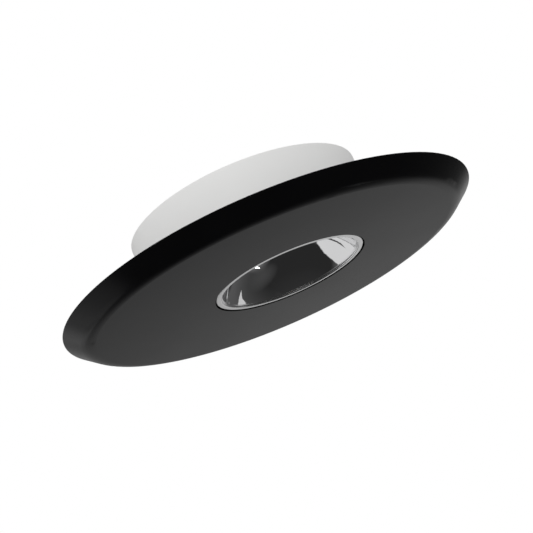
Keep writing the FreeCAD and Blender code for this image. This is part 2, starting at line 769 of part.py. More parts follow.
def make_reflector():
    """The mirror bowl: a shell between two arcs of one centre, with a seat above and a rim below."""
    body = new_body("reflector", *OPTIC)
    sketch = new_sketch(body, "XZ_Plane")
    rim = Vector(value("bowl_rim"), value("lip_z"), 0)
    neck = Vector(value("neck_radius"), value("neck_z - bowl_flange"), 0)
    curve = value("bowl_curve")
    outer_curve = value("bowl_curve + bowl_wall")
    chord = neck - rim
    across = Vector(-chord.y, chord.x, 0).normalize()
    centre = (rim + neck) / 2 + across * math.sqrt(curve ** 2 - (chord.Length / 2) ** 2)

    def on_outside(level):
        """The point of the outer arc at a level."""
        return Vector(centre.x + math.sqrt(outer_curve ** 2 - (level - centre.y) ** 2), level, 0)

    def arc(radius, start, end):
        first, last = (math.atan2(point.y - centre.y, point.x - centre.x) for point in (start, end))
        circle = Part.Circle(centre, UP, radius)
        return sketch.addGeometry(Part.ArcOfCircle(circle, first, last), False)

    outer_rim = on_outside(value("lip_z + bowl_flange"))
    outer_neck = on_outside(neck.y)
    inner = arc(curve, rim, neck)
    outer = arc(outer_curve, outer_rim, outer_neck)
    seat_radius = value("neck_radius + neck_flange")
    rim_radius = value("flange_radius")
    path = [
        neck, Vector(neck.x, value("neck_z"), 0), Vector(seat_radius, value("neck_z"), 0),
        Vector(seat_radius, neck.y, 0), outer_neck,
    ]
    lower = [outer_rim, Vector(rim_radius, outer_rim.y, 0), Vector(rim_radius, rim.y, 0), rim]
    upper_lines = [sketch.addGeometry(Part.LineSegment(a, b), False) for a, b in zip(path, path[1:])]
    lower_lines = [sketch.addGeometry(Part.LineSegment(a, b), False) for a, b in zip(lower, lower[1:])]
    chain = [(inner, 1, 2)] + [(line, 1, 2) for line in upper_lines] + [(outer, 2, 1)]
    chain += [(line, 1, 2) for line in lower_lines]
    for (one, _, finish), (other, start, _) in zip(chain, chain[1:] + chain[:1]):
        sketch.addConstraint(Sketcher.Constraint("Coincident", one, finish, other, start))
    sketch.addConstraint(Sketcher.Constraint("Coincident", inner, 3, outer, 3))
    fix(sketch, "Radius", inner, "bowl_curve")
    fix(sketch, "Radius", outer, "bowl_curve + bowl_wall")
    fix_point(sketch, inner, 1, "bowl_rim", "lip_z")
    fix_point(sketch, inner, 2, "neck_radius", "neck_z - bowl_flange")
    fix_point(sketch, upper_lines[1], 1, "neck_radius", "neck_z")
    fix_point(sketch, upper_lines[2], 1, "neck_radius + neck_flange", "neck_z")
    fix_point(sketch, upper_lines[3], 1, "neck_radius + neck_flange", "neck_z - bowl_flange")
    fix(sketch, "DistanceY", -1, 1, outer, 2, "neck_z - bowl_flange")
    fix(sketch, "DistanceY", -1, 1, outer, 1, "lip_z + bowl_flange")
    fix_point(sketch, lower_lines[1], 1, "flange_radius", "lip_z + bowl_flange")
    fix_point(sketch, lower_lines[2], 1, "flange_radius", "lip_z")
    feature = body.newObject("PartDesign::Revolution", "bowl")
    feature.Profile = sketch
    feature.ReferenceAxis = (sketch, ["V_Axis"])
    feature.Angle = 360
    settle(body, feature)


def make_aperture_ring():
    body = new_body("aperture_ring", *OPTIC)
    revolve(body, [
        ("ring_bore", "ring_z"), ("ring_radius", "ring_z"), ("ring_radius", "front_low_z"),
        ("collar_bore", "front_low_z"), ("collar_bore", "lip_z"), ("ring_bore", "lip_z"),
    ])
    round_edges(body, edges_at(body, value("ring_z")), "ring_round")
    lug = new_sketch(body, "XY_Plane", "lug_z")
    add_circle(lug, *at_angle("post_circle", "post_angle"), "lug_radius")
    lug_pad = pad(body, lug, "lug_height")
    root = new_sketch(body, "XZ_Plane", turn="post_angle")
    add_outline(root, [
        ("ring_radius - ring_wall / 2", "lug_z"), ("post_circle", "lug_z"),
        ("post_circle", "front_low_z"), ("ring_radius - ring_wall / 2", "front_low_z"),
    ])
    sector = body.newObject("PartDesign::Revolution", "lug_root")
    sector.Profile = root
    sector.ReferenceAxis = (root, ["V_Axis"])
    sector.Midplane = True
    bind(sector, "Angle", "2 * asin(lug_radius / post_circle)")
    settle(body, sector)
    ring_of(body, [lug_pad, sector], "post_count")
    hole = new_sketch(body, "XY_Plane", "lug_z")
    add_circle(hole, *at_angle("post_circle", "post_angle"), "screw_passage")
    hole_cut = pocket(body, hole, "lug_height")
    ring_of(body, [hole_cut], "post_count")


def make_optic_screws():
    ring_of_screws("optic_screws", "post_circle", "post_angle", "post_count", "lug_z", "screw_bite",
                   home=OPTIC)


# ---------------------------------------------------------------- driver, in a frame turned to its own angle

def driver_ears():
    """Centres of the case's two fixing ears, in the driver's frame."""
    x = "driver_near + ear_inset"
    y = "driver_length / 2 + ear_radius"
    return [(x, y), (x, f"-({y})")]


def in_plan(x, y):
    """A point of the driver's frame, in the canopy's."""
    return (f"(({x}) * cos(driver_angle) - ({y}) * sin(driver_angle))",
            f"(({x}) * sin(driver_angle) + ({y}) * cos(driver_angle))")


def driver_outline(sketch, inset):
    """The driver's footprint, drawn in by inset."""
    near, far = f"driver_near + {inset}", f"driver_far - ({inset})"
    half = f"(driver_length / 2 - ({inset}))"
    add_outline(sketch, [(near, f"-{half}"), (far, f"-{half}"), (far, half), (near, half)])


def driver_box(body, low_z, height, inset="0"):
    sketch = new_sketch(body, "XY_Plane", low_z)
    driver_outline(sketch, inset)
    return pad(body, sketch, height)


def upright_edges(body):
    """Names of the straight edges that run along Z."""
    names = []
    for number, edge in enumerate(body.Shape.Edges, start=1):
        if isinstance(edge.Curve, Part.Line) and abs(abs(edge.Curve.Direction.z) - 1) < TINY:
            names.append(f"Edge{number}")
    return names


def make_driver_case():
    body = new_body("driver_case", *DRIVER)
    driver_box(body, "case_low_z", "driver_height")
    round_edges(body, upright_edges(body), "driver_corner")
    hollow = new_sketch(body, "XY_Plane", "case_low_z")
    driver_outline(hollow, "driver_wall")
    pocket(body, hollow, "driver_height - driver_wall")
    ears = new_sketch(body, "XY_Plane", "case_top_z - ear_thickness")
    for x, y in driver_ears():
        add_circle(ears, x, y, "ear_radius")
    pad(body, ears, "ear_thickness")
    webs = new_sketch(body, "XY_Plane", "case_top_z - ear_thickness")
    for side in ("", "-"):
        near, far = "driver_near + ear_inset - ear_radius", "driver_near + ear_inset + ear_radius"
        root, tip = f"{side}(driver_length / 2)", f"{side}(driver_length / 2 + ear_radius)"
        add_outline(webs, [(near, root), (far, root), (far, tip), (near, tip)])
    pad(body, webs, "ear_thickness")
    holes = new_sketch(body, "XY_Plane", "case_top_z - ear_thickness")
    for x, y in driver_ears():
        add_circle(holes, x, y, "screw_passage")
    pocket(body, holes, "ear_thickness")


def make_driver_cover():
    body = new_body("driver_cover", *DRIVER)
    driver_box(body, "case_low_z - driver_wall", "driver_wall")
    round_edges(body, upright_edges(body), "driver_corner")
    driver_box(body, "case_low_z", "driver_wall", "driver_wall + screw_clearance")


def make_driver_screws():
    body = new_body("driver_screws", *DRIVER)
    for x, y in driver_ears():
        add_screw(body, x, y, "case_top_z - ear_thickness", "ear_thickness + driver_standoff")


def make_driver_parts():
    """Board, transformer and capacitors inside the case."""
    board = new_body("driver_board", *DRIVER)
    driver_box(board, "circuit_low_z", "circuit_thickness", "driver_wall + screw_clearance")
    ribs = new_sketch(board, "XY_Plane", "circuit_top_z")
    for side in ("", "-"):
        add_circle(ribs, "driver_mid", f"{side}(driver_length / 2 - ear_radius)", "screw_hole")
    pad(board, ribs, "board_gap")

    transformer = new_body("driver_transformer", *DRIVER)
    core = new_sketch(transformer, "XY_Plane", "circuit_low_z - core_height")
    add_outline(core, [
        ("driver_mid - core_size / 2", "-core_size / 2"),
        ("driver_mid + core_size / 2", "-core_size / 2"),
        ("driver_mid + core_size / 2", "core_size / 2"),
        ("driver_mid - core_size / 2", "core_size / 2"),
    ])
    pad(transformer, core, "core_height")
    winding = new_sketch(transformer, "XY_Plane", "circuit_low_z - core_height + driver_wall")
    add_circle(winding, "driver_mid", "0", "core_size / 2 + driver_wall")
    pad(transformer, winding, "core_height - 2 * driver_wall")

    capacitors = new_body("driver_capacitors", *DRIVER)
    cans = new_sketch(capacitors, "XY_Plane", "circuit_low_z - capacitor_height")
    for side in ("", "-"):
        add_circle(cans, "driver_mid", f"{side}(core_size + capacitor_radius / 2)", "capacitor_radius")
    pad(capacitors, cans, "capacitor_height")


# ---------------------------------------------------------------- terminal block

def pole_y(number):
    """Middle of a pole, in the block's frame."""
    return f"(({number} - (pole_count - 1) / 2) * pole_pitch)"


def contact_outline(number, gap="0"):
    """Plan of one pole's brass contact, which reaches from the wire entries towards the lever's hub."""
    y = pole_y(number)
    near, far = f"-({gap})", f"contact_length + {gap}"
    low = f"{y} - contact_width / 2 - {gap}"
    high = f"{y} + contact_width / 2 + {gap}"
    return [(near, low), (far, low), (far, high), (near, high)]


def strap_outline(start, end):
    """Plan of the earth strap's straight part, over the last pole."""
    low, high = "pole_pitch - contact_width / 2", "pole_pitch + contact_width / 2"
    return [(start, low), (end, low), (end, high), (start, high)]


def make_terminal_block():
    body = new_body("terminal_block", "terminal_x", "terminal_y")
    half = "terminal_depth / 2"
    profile = new_sketch(body, "XZ_Plane")
    add_outline(profile, [
        (f"-{half}", "terminal_low_z"), (half, "terminal_low_z"),
        (half, "roof_low_z"), (f"-{half}", "roof_low_z"),
    ])
    block = body.newObject("PartDesign::Pad", "block")
    block.Profile = profile
    block.Midplane = True
    bind(block, "Length", "terminal_width")
    settle(body, block)
    for number in range(round(value("pole_count"))):
        y = pole_y(number)
        slot = new_sketch(body, "XZ_Plane", f"-{y}")
        behind = "lever_hinge_x + lever_hub + lever_back"
        before_hub = "lever_hinge_x - lever_hub - lever_clearance"
        over_hub = "hinge_z + lever_hub + lever_clearance"
        over_arm = "lever_top_z + lever_clearance"
        add_outline(slot, [
            (f"-{half}", "terminal_low_z"), (behind, "terminal_low_z"), (behind, over_hub),
            (before_hub, over_hub), (before_hub, over_arm), (f"-{half}", over_arm),
        ])
        before = body.Shape.Volume
        cut = body.newObject("PartDesign::Pocket", "lever_slot")
        cut.Profile = slot
        cut.Midplane = True
        bind(cut, "Length", "slot_width")
        settle(body, cut)
        check_cut(body, before)
    pin_bore = new_sketch(body, "XZ_Plane")
    add_circle(pin_bore, "lever_hinge_x", "hinge_z", "lever_pin + pin_clearance")
    bore = body.newObject("PartDesign::Pocket", "pin_bore")
    bore.Profile = pin_bore
    bore.Midplane = True
    bind(bore, "Length", "(pole_count - 1) * pole_pitch + pin_length + 2 * lever_clearance")
    settle(body, bore)
    lug = new_sketch(body, "XY_Plane", "roof_low_z - lug_thickness")
    low, high = "-pole_pitch - terminal_lug / 2", "-pole_pitch + terminal_lug / 2"
    out = f"{half} + terminal_lug / 2"
    add_outline(lug, [(half, low), (out, low), (out, high), (half, high)])
    pad(body, lug, "lug_thickness")
    lug_end = new_sketch(body, "XY_Plane", "roof_low_z - lug_thickness")
    add_circle(lug_end, *TERMINAL_SCREW, "terminal_lug / 2")
    pad(body, lug_end, "lug_thickness")
    lug_hole = new_sketch(body, "XY_Plane", "roof_low_z - lug_thickness")
    add_circle(lug_hole, *TERMINAL_SCREW, "screw_passage")
    pocket(body, lug_hole, "lug_thickness")

    contacts = new_sketch(body, "XY_Plane", "contact_z - screw_clearance")
    for number in range(round(value("pole_count"))):
        add_outline(contacts, contact_outline(number, "screw_clearance"))
    pocket(body, contacts, "contact_height + strap_thickness + screw_clearance")
    groove = new_sketch(body, "XY_Plane", "roof_low_z - strap_thickness")
    add_outline(groove, strap_outline("contact_length / 2", half))
    pocket(body, groove, "strap_thickness")

    entries = new_sketch(body, "YZ_Plane", f"-{half}")
    for number in range(round(value("pole_count"))):
        y = pole_y(number)
        add_circle(entries, y, "roof_low_z - wire_entry_depth", "wire_entry")
        add_circle(entries, y, "roof_low_z - lead_entry_depth", "lead_radius + screw_clearance")
    before = body.Shape.Volume
    wires = body.newObject("PartDesign::Pocket", "wire_entries")
    wires.Profile = entries
    wires.Reversed = True
    bind(wires, "Length", "terminal_depth / 2")
    settle(body, wires)
    check_cut(body, before)


def make_terminal_metal():
    """Brass contacts inside the block, the earth strap to the roof, and the two short screws."""
    contacts = new_body("terminal_contacts", "terminal_x", "terminal_y")
    bars = new_sketch(contacts, "XY_Plane", "contact_z")
    for number in range(round(value("pole_count"))):
        add_outline(bars, contact_outline(number))
    pad(contacts, bars, "contact_height")

    strap = new_body("earth_strap", "terminal_x", "terminal_y")
    bar = new_sketch(strap, "XY_Plane", "roof_low_z - strap_thickness")
    add_outline(bar, strap_outline("contact_length / 2", EARTH_SCREW[0]))
    pad(strap, bar, "strap_thickness")
    eye = new_sketch(strap, "XY_Plane", "roof_low_z - strap_thickness")
    add_circle(eye, *EARTH_SCREW, "strap_eye")
    pad(strap, eye, "strap_thickness")
    hole = new_sketch(strap, "XY_Plane", "roof_low_z - strap_thickness")
    add_circle(hole, *EARTH_SCREW, "screw_passage")
    pocket(strap, hole, "strap_thickness")

    for name, (x, y), grip in (
        ("terminal_screw", TERMINAL_SCREW, "lug_thickness"),
        ("earth_screw", EARTH_SCREW, "strap_thickness"),
    ):
        screw = new_body(name, "terminal_x", "terminal_y")
        add_screw(screw, x, y, f"roof_low_z - {grip}", f"{grip} + roof_bite")


def make_levers():
    for number, name in enumerate(("lever_earth", "lever_neutral", "lever_live")):
        y = pole_y(2 - number)
        body = new_body(name, "terminal_x", f"terminal_y + {y}")
        tip = "lever_hinge_x - lever_reach"
        arm = new_sketch(body, "XZ_Plane")
        add_outline(arm, [
            (tip, "terminal_low_z"), ("lever_hinge_x", "terminal_low_z"), ("lever_hinge_x", "hinge_z"),
            ("lever_hinge_x - lever_hub + lever_clearance", "lever_top_z"), (tip, "lever_top_z"),
        ])
        arm_pad = body.newObject("PartDesign::Pad", "arm")
        arm_pad.Profile = arm
        arm_pad.Midplane = True
        bind(arm_pad, "Length", "lever_width")
        settle(body, arm_pad)
        hub, pin = ("hub", "lever_hub", "lever_width"), ("pin", "lever_pin", "pin_length")
        for role, radius, length in (hub, pin):
            circle = new_sketch(body, "XZ_Plane")
            add_circle(circle, "lever_hinge_x", "hinge_z", radius)
            turned = body.newObject("PartDesign::Pad", role)
            turned.Profile = circle
            turned.Midplane = True
            bind(turned, "Length", length)
            settle(body, turned)


# ---------------------------------------------------------------- leads

def bent_wire(points):
    """Straight runs joined by tangent arcs through the corners of a route."""
    edges = []
    start = points[0]
    for before, corner, after in zip(points, points[1:], points[2:]):
        back = (before - corner).normalize()
        ahead = (after - corner).normalize()
        turn = math.pi - back.getAngle(ahead)
        cut = value("lead_bend") * min((corner - before).Length, (after - corner).Length)
        radius = cut / math.tan(turn / 2)
        entry = corner + back * cut
        leave = corner + ahead * cut
        middle = corner + (back + ahead).normalize() * (math.hypot(radius, cut) - radius)
        edges.append(Part.LineSegment(start, entry).toShape())
        edges.append(Part.Arc(entry, middle, leave).toShape())
        start = leave
    edges.append(Part.LineSegment(start, points[-1]).toShape())
    return Part.Wire(edges)


def make_leads(name, routes):
    """Insulated leads of one node: a round tube along each route of named points."""
    solids = []
    for route in routes:
        points = [Vector(value(x), value(y), value(z)) for x, y, z in route]
        wire = bent_wire(points)
        ring = Part.Wire(Part.Circle(points[0], points[1] - points[0], value("lead_radius")).toShape())
        solids.append(Part.Wire(wire.Edges).makePipeShell([ring], True, True))
    feature = doc.addObject("Part::Feature", name)
    feature.Label = name
    feature.Shape = Part.makeCompound(solids)
    pieces.append(feature)


def make_supply_leads():
    """From the block's lower entries over the near post to the driver's end."""
    edge_x = "terminal_x - terminal_depth / 2"
    high = "roof_low_z - lead_entry_depth"
    low = "case_low_z + lead_rise"
    end_y = "-driver_length / 2"
    boss_x, boss_y = at_angle("boss_circle", "boss_angle + 360 / boss_count")
    routes = []
    for number, side in enumerate("-+"):
        edge_y = f"terminal_y + {pole_y(number)}"
        across = f"driver_mid {side} 2 * lead_radius"
        end = in_plan(across, end_y)
        off = in_plan(across, f"{end_y} - lead_straight")
        turn_y = f"terminal_y - lead_straight + {number} * lead_step"
        fan_x = f"{boss_x} + lead_boss_out + {number} * lead_fan"
        routes.append([
            (edge_x, edge_y, high),
            (f"{edge_x} - lead_straight", edge_y, high),
            (f"{edge_x} - lead_reach", turn_y, f"{high} + lead_radius"),
            (fan_x, f"{boss_y} - lead_boss_down", f"({high} + {low}) / 2"),
            (*off, low),
            (*end, low),
        ])
    make_leads("supply_leads", routes)


def make_led_leads():
    """Side by side from the chip's holder to the driver's near side, in the driver's frame."""
    optic_x = "(optic_x * cos(driver_angle) + optic_y * sin(driver_angle))"
    optic_y = "(optic_y * cos(driver_angle) - optic_x * sin(driver_angle))"
    level = "sink_z - pad_thickness - 2 * lead_radius"
    routes = []
    rim = "sqrt(holder_radius * holder_radius - lead_spacing * lead_spacing)"
    start = f"({optic_x} + {rim} + lead_gap)"
    run = f"(driver_near - {start})"
    for side in "-+":
        near = (f"{optic_y} {side} lead_spacing", level)
        far = (f"{optic_y} {side} lead_spread", f"{level} - lead_radius")
        stops = [("0", near), ("lead_jog_start", near), ("lead_jog_end", far), ("1", far)]
        routes.append([(*in_plan(f"{start} + {share} * {run}", y), z) for share, (y, z) in stops])
    make_leads("led_leads", routes)


# ---------------------------------------------------------------- trim disc

def make_trim_disc():
    """A shallow spun dish: its bevel and its face are parallel sheets, rounded with one centre."""
    body = new_body("trim_disc")
    revolve(body, [
        ("0", "face_z"), ("corner_out", "face_z"), ("disc_radius", "rim_z - rim_land"),
        ("disc_radius", "rim_z"), ("corner_in + (rim_z - back_z) / tan(bevel_angle)", "rim_z"),
        ("corner_in", "back_z"), ("0", "back_z"),
    ])
    round_edges(body, edges_at(body, value("face_z"), value("corner_out")), "bevel_round")
    round_edges(body, edges_at(body, value("back_z"), value("corner_in")), "bevel_round - disc_sheet")
    rim = edges_at(body, value("rim_z"), value("disc_radius"))
    rim += edges_at(body, value("rim_z - rim_land"), value("disc_radius"))
    round_edges(body, rim, "rim_edge")
    hole = new_sketch(body, "XY_Plane", "face_z")
    add_circle(hole, "optic_x", "optic_y", "ring_radius + ring_gap")
    pocket(body, hole, "disc_sheet")


def make_magnets():
    body = new_body("magnets")
    magnet = new_sketch(body, "XY_Plane", "back_z")
    add_circle(magnet, *at_angle("magnet_circle", "magnet_angle"), "magnet_radius")
    magnet_pad = pad(body, magnet, "magnet_height")
    ring_of(body, [magnet_pad], "magnet_count")


def make_locating_studs():
    body = new_body("locating_studs")
    x, y = at_angle("magnet_circle", "stud_angle")
    stud = new_sketch(body, "XY_Plane", "back_z")
    add_circle(stud, x, y, "stud_radius")
    stud_pad = pad(body, stud, "magnet_height + front_thickness - screw_clearance")
    ring_of(body, [stud_pad], "2")


# ---------------------------------------------------------------- build, check and write

make_mounting_plate()
make_hanging_screws()
make_canopy()
make_ceiling_gasket()
make_cable_grommet()
make_front_plate()
make_front_seal()
make_front_screws()
make_heat_sink()
make_led()
make_led_holder()
make_holder_screws()
make_lens()
make_reflector()
make_aperture_ring()
make_optic_screws()
make_driver_case()
make_driver_cover()
make_driver_screws()
make_driver_parts()
make_terminal_block()
make_terminal_metal()
make_levers()
make_supply_leads()
make_led_leads()
make_trim_disc()
make_magnets()
make_locating_studs()
doc.recompute()

for item in doc.Objects:
    if "Invalid" in item.State or "Error" in item.State:
        raise ValueError(f"{item.Label} failed: {item.State}")
for piece in pieces:
    if piece.Shape.isNull() or not piece.Shape.isValid() or not piece.Shape.Solids:
        raise ValueError(f"{piece.Label} has no valid shape")

os.makedirs("parts", exist_ok=True)
for piece in pieces:
    piece.Shape.exportStep(f"parts/{piece.Label}.step")
    print(f"{piece.Label}: {len(piece.Shape.Solids)} solid(s), {piece.Shape.Volume:.0f} mm3")
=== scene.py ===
"""Looks of the soffit downlight: a finish for each piece, a plain studio with a room for gloss, and the camera."""
import json
import math

import bpy
from mathutils import Matrix, Vector

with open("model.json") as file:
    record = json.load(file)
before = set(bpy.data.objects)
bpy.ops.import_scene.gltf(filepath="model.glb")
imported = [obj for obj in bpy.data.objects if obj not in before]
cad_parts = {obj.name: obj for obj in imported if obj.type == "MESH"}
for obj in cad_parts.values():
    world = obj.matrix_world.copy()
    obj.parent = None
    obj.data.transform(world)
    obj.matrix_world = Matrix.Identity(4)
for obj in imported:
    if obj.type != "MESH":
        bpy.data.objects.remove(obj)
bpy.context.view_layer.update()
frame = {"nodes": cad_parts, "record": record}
scene = bpy.context.scene
nodes = frame["nodes"]
MM = 0.001


# ---------------------------------------------------------------- node helpers

class Graph:
    """A small wrapper that adds nodes to a tree and joins them."""

    def __init__(self, tree):
        self.tree = tree

    def put(self, socket, value):
        """Join an output to the socket, or set the socket's constant."""
        if isinstance(value, bpy.types.NodeSocket):
            self.tree.links.new(value, socket)
        else:
            socket.default_value = value

    def add(self, kind, inputs=None, **settings):
        node = self.tree.nodes.new(kind)
        for name, value in settings.items():
            setattr(node, name, value)
        for name, value in (inputs or {}).items():
            self.put(node.inputs[name], value)
        return node

    def math(self, operation, a, b=0.0, c=0.0):
        return self.add("ShaderNodeMath", {0: a, 1: b, 2: c}, operation=operation).outputs[0]

    def spread(self, value, low, high, start=0.0, end=1.0):
        """Map a value from start..end to low..high, clamped."""
        node = self.add("ShaderNodeMapRange", {"Value": value, "From Min": start, "From Max": end,
                                               "To Min": low, "To Max": high})
        return node.outputs["Result"]

    def mix(self, factor, a, b):
        """Mix two colours. The mix node's colour sockets are inputs 6 and 7 and output 2."""
        return self.add("ShaderNodeMix", {0: factor, 6: a, 7: b}, data_type="RGBA").outputs[2]

    def noise(self, coords, size, detail=3.0):
        """Noise with features of about the given size in metres."""
        return self.add("ShaderNodeTexNoise", {"Vector": coords, "Scale": 1.0 / size, "Detail": detail}).outputs[0]

    def facing(self, direction, towards):
        """Cosine of the angle between a direction and a fixed one."""
        node = self.add("ShaderNodeVectorMath", {0: direction, 1: towards}, operation="DOT_PRODUCT")
        return node.outputs["Value"]


def grey(level):
    return (level, level, level, 1.0)


def new_material(name):
    material = bpy.data.materials.new(name)
    material.use_nodes = True
    graph = Graph(material.node_tree)
    shader = material.node_tree.nodes["Principled BSDF"]
    coords = graph.add("ShaderNodeTexCoord").outputs["Object"]
    return material, graph, shader, coords


# ---------------------------------------------------------------- finishes

PATCH_DETAIL = 4.0
GRAIN_DETAIL = 2.0
NOISE_RANGE = (0.3, 0.7)    # where nearly all of a noise's values lie


def finish(name, colour, colour_b, rough, metallic=0.0, patch=0.02, fine=0.0008, bump=0.1, depth=0.00005,
           **sockets):
    """A surface with patchy colour and roughness, and a fine bump. Rough is a (low, high) pair."""
    material, graph, shader, coords = new_material(name)
    patches = graph.noise(coords, patch, PATCH_DETAIL)
    grain = graph.noise(coords, fine, GRAIN_DETAIL)
    both = graph.math("MULTIPLY_ADD", grain, 0.5, graph.math("MULTIPLY", patches, 0.5))
    relief = graph.add("ShaderNodeBump", {"Strength": bump, "Distance": depth, "Height": grain})
    graph.put(shader.inputs["Base Color"], graph.mix(patches, (*colour, 1.0), (*colour_b, 1.0)))
    graph.put(shader.inputs["Roughness"], graph.spread(both, *rough, *NOISE_RANGE))
    graph.put(shader.inputs["Normal"], relief.outputs[0])
    shader.inputs["Metallic"].default_value = metallic
    for socket, value in sockets.items():
        shader.inputs[socket.replace("_", " ")].default_value = value
    return material


def clear_lens():
    """Clear cover lens with a faint tint and a trace of surface haze."""
    material, graph, shader, coords = new_material("clear_lens")
    lens_haze_and_painted_glow = graph.noise(coords, 0.004)
    graph.put(shader.inputs["Roughness"], graph.spread(lens_haze_and_painted_glow, 0.02, 0.08))
    graph.put(shader.inputs["Base Color"], graph.mix(lens_haze_and_painted_glow, (0.96, 0.98, 0.99, 1), (0.99, 0.99, 0.99, 1)))
    shader.inputs["Transmission Weight"].default_value = 1.0
    shader.inputs["IOR"].default_value = 1.5
    return material


FINISH_OF_SLOT = {
    "black_coat": finish("black_powder_coat", (0.0016, 0.0016, 0.0018), (0.003, 0.003, 0.0033), (0.18, 0.25),
                         patch=0.03, fine=0.0009, bump=0.04, Specular_IOR_Level=0.08),
    "white_coat": finish("white_powder_coat", (0.80, 0.80, 0.79), (0.84, 0.84, 0.835), (0.42, 0.55),
                         patch=0.04, fine=0.0011, bump=0.12),
    "zinc_steel": finish("zinc_plated_steel", (0.52, 0.53, 0.54), (0.66, 0.66, 0.65), (0.28, 0.46), 1.0,
                         patch=0.008, fine=0.0006, bump=0.06),
    "screw_steel": finish("stainless_steel", (0.50, 0.50, 0.50), (0.62, 0.62, 0.61), (0.2, 0.34), 1.0,
                          patch=0.002, fine=0.0003, bump=0.05),
    "sealing_foam": finish("sealing_foam", (0.025, 0.025, 0.026), (0.05, 0.05, 0.05), (0.85, 0.95),
                           patch=0.004, fine=0.0006, bump=0.5, depth=0.0002),
    "grommet_rubber": finish("grommet_rubber", (0.02, 0.02, 0.02), (0.034, 0.034, 0.034), (0.6, 0.75),
                             patch=0.005, fine=0.0004, bump=0.2),
    "cast_aluminium": finish("cast_aluminium", (0.62, 0.63, 0.64), (0.74, 0.74, 0.74), (0.42, 0.6), 1.0,
                             patch=0.006, fine=0.0007, bump=0.25),
    "thermal_gel": finish("thermal_gel", (0.30, 0.34, 0.42), (0.38, 0.42, 0.5), (0.6, 0.75), patch=0.004),
    "board_aluminium": finish("board_solder_mask", (0.82, 0.82, 0.79), (0.87, 0.87, 0.84), (0.3, 0.4),
                              patch=0.004),
    "chip_phosphor": finish("phosphor_gel", (0.86, 0.62, 0.08), (0.92, 0.72, 0.16), (0.4, 0.55),
                            patch=0.001, fine=0.0002, bump=0.2),
    "holder_plastic": finish("holder_plastic", (0.80, 0.80, 0.77), (0.85, 0.85, 0.82), (0.45, 0.6), patch=0.006),
    "lens_gasket": finish("silicone_gasket", (0.72, 0.72, 0.7), (0.78, 0.78, 0.76), (0.5, 0.65), patch=0.004),
    "mirror_aluminium": finish("bright_dipped_aluminium", (0.82, 0.82, 0.83), (0.87, 0.87, 0.875), (0.03, 0.05),
                               1.0, patch=0.012, fine=0.006, bump=0.06, depth=0.0001),
    "ring_aluminium": finish("satin_ring", (0.90, 0.90, 0.905), (0.94, 0.94, 0.945), (0.22, 0.29), 1.0,
                             patch=0.01, fine=0.0005, bump=0.05),
    "case_plastic": finish("driver_case_plastic", (0.02, 0.02, 0.022), (0.03, 0.03, 0.032), (0.5, 0.65),
                           patch=0.01),
    "circuit_board": finish("circuit_board", (0.02, 0.10, 0.04), (0.03, 0.14, 0.06), (0.35, 0.5), patch=0.002),
    "winding_tape": finish("winding_tape", (0.60, 0.42, 0.06), (0.70, 0.52, 0.1), (0.3, 0.45), patch=0.003),
    "capacitor_can": finish("capacitor_sleeve", (0.02, 0.03, 0.12), (0.03, 0.04, 0.16), (0.3, 0.4), patch=0.003),
    "terminal_plastic": finish("terminal_plastic", (0.42, 0.44, 0.45), (0.48, 0.50, 0.51), (0.4, 0.55),
                               patch=0.006),
    "contact_brass": finish("contact_brass", (0.72, 0.52, 0.20), (0.80, 0.62, 0.28), (0.25, 0.4), 1.0,
                            patch=0.002),
    "lever_plastic": finish("lever_plastic", (0.80, 0.22, 0.02), (0.86, 0.27, 0.03), (0.25, 0.35), patch=0.004),
    "lead_insulation": finish("lead_insulation", (0.76, 0.76, 0.73), (0.82, 0.82, 0.79), (0.35, 0.5),
                              patch=0.003),
    "magnet_nickel": finish("nickel_plating", (0.66, 0.64, 0.60), (0.72, 0.70, 0.66), (0.1, 0.2), 1.0,
                            patch=0.003),
    "lens_glass": clear_lens(),
}
for entry in frame["record"]["subparts"]:
    item = nodes[entry["node"]]
    item.data.materials.clear()
    item.data.materials.append(FINISH_OF_SLOT[entry["material_slot"]])


# ---------------------------------------------------------------- studio: floor, world, cards, lamp

FLOOR_LEVEL = -1.0
FLOOR_HALF = 6.0


def add_mesh(name, corners, material):
    """One flat face of the studio."""
    mesh = bpy.data.meshes.new(name)
    mesh.from_pydata(corners, [], [tuple(range(len(corners)))])
    mesh.materials.append(material)
    item = bpy.data.objects.new(name, mesh)
    scene.collection.objects.link(item)
    return item


def make_floor():
    """Pale floor that keeps the object's shadow and is clear to gloss, which mirrors the world's room instead."""
    material, graph, shader, coords = new_material("pale_floor")
    graph.put(shader.inputs["Base Color"], graph.mix(graph.noise(coords, 0.4), grey(0.91), grey(0.94)))
    shader.inputs["Roughness"].default_value = 0.9
    ray = graph.add("ShaderNodeLightPath")
    clear = graph.add("ShaderNodeBsdfTransparent")
    shown = graph.add("ShaderNodeMixShader", {0: ray.outputs["Is Glossy Ray"], 1: shader.outputs[0],
                                              2: clear.outputs[0]})
    graph.put(material.node_tree.nodes["Material Output"].inputs["Surface"], shown.outputs[0])
    signs = ((-1, -1), (1, -1), (1, 1), (-1, 1))
    add_mesh("floor", [(FLOOR_HALF * x, FLOOR_HALF * y, FLOOR_LEVEL) for x, y in signs], material)


PLAIN_LIGHT = 0.82
